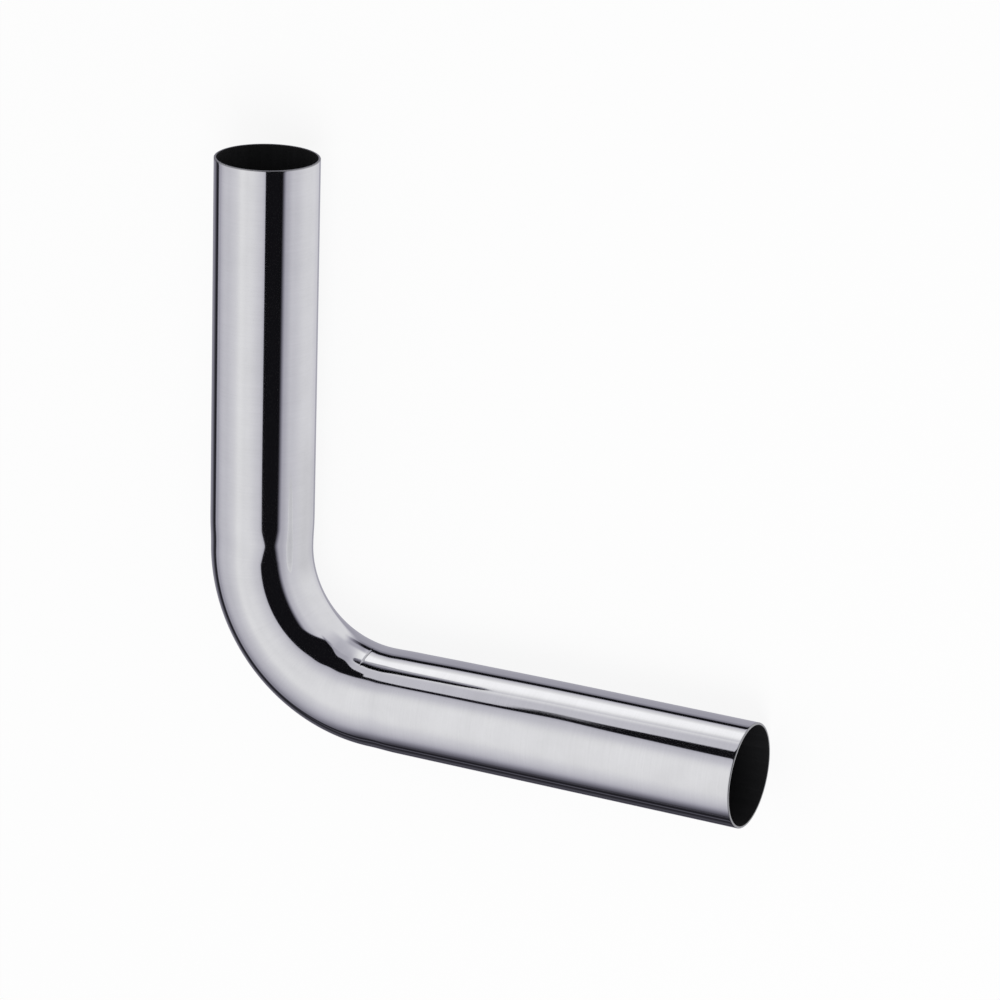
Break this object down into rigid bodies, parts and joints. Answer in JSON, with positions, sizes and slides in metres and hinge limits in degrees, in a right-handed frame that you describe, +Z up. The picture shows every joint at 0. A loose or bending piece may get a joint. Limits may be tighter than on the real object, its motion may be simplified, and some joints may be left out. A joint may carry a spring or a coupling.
{
  "type": "angled waste pipe",
  "caption": "Thin-walled chromed waste pipe bent through a right angle, with a straight leg and a square-cut open end on each side of the bend.",
  "frame": {"origin": "middle of the box around the pipe, on the surface that it lies on", "axes": "+Z up from that surface, +Y along the inlet leg towards its open end, +X along the outlet leg towards its open end"},
  "size_m": [0.181, 0.181, 0.032],
  "materials": {
    "chrome_plate": "bright polished chrome plating"
  },
  "bodies": {
    "root": {"waste_pipe": "chrome_plate"}
  },
  "joints": []
}
